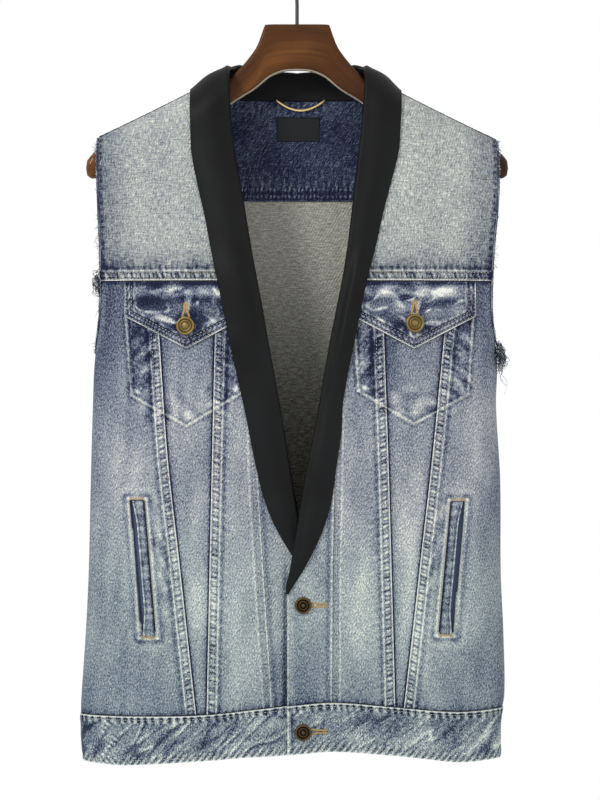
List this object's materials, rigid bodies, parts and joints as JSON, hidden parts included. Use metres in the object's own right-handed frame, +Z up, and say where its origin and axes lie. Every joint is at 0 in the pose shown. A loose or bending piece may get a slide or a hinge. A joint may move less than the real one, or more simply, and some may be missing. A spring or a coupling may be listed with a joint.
{
  "type": "denim vest on a wooden hanger",
  "caption": "Sleeveless denim jacket with a black satin shawl collar and frayed armholes, buttoned low and hanging on a wooden hanger with a wire hook.",
  "frame": {"origin": "highest point inside the hanger's hook, where a rail carries it", "axes": "+Z up, the front of the vest faces -Y, the wearer's left is at +X"},
  "size_m": [0.409, 0.0968, 0.7875],
  "materials": {
    "body_denim": "washed blue denim twill, faded along folds and seams",
    "yoke_denim": "heavily faded grey blue denim twill",
    "waistband_denim": "washed denim with pale worn ridges",
    "dark_denim": "unfaded dark indigo denim",
    "pocket_cloth": "plain cotton pocket cloth",
    "satin": "black satin with a soft sheen",
    "label_cloth": "bare black woven label",
    "brass": "antique brass with darker hollows",
    "gilt": "polished pale gold",
    "loose_thread": "matt cotton thread",
    "hanger_wood": "brown stained beech under lacquer",
    "hook_wire": "black lacquered steel wire"
  },
  "bodies": {
    "root": {"front_yoke_right": "yoke_denim", "front_yoke_left": "yoke_denim", "front_centre_right": "body_denim", "front_centre_left": "body_denim", "front_inset_right": "body_denim", "front_inset_left": "body_denim", "front_side_right": "body_denim", "front_side_left": "body_denim", "front_band_right": "body_denim", "front_band_left": "body_denim", "pocket_flap_right": "body_denim", "pocket_flap_left": "body_denim", "chest_pocket_bag_right": "pocket_cloth", "chest_pocket_bag_left": "pocket_cloth", "hand_pocket_welt_right": "body_denim", "hand_pocket_welt_left": "body_denim", "hand_pocket_bag_right": "pocket_cloth", "hand_pocket_bag_left": "pocket_cloth", "back_yoke": "yoke_denim", "back_yoke_lining": "dark_denim", "back_centre": "body_denim", "back_side_right": "body_denim", "back_side_left": "body_denim", "waistband": "waistband_denim", "shawl_collar": "satin", "neck_label": "label_cloth", "neck_loop": "gilt", "pocket_button_right": "brass", "pocket_button_left": "brass", "front_button_upper": "brass", "front_button_lower": "brass", "armhole_fray_right": "loose_thread", "armhole_fray_left": "loose_thread", "hanger_body": "hanger_wood", "hanger_hook": "hook_wire"}
  },
  "joints": []
}
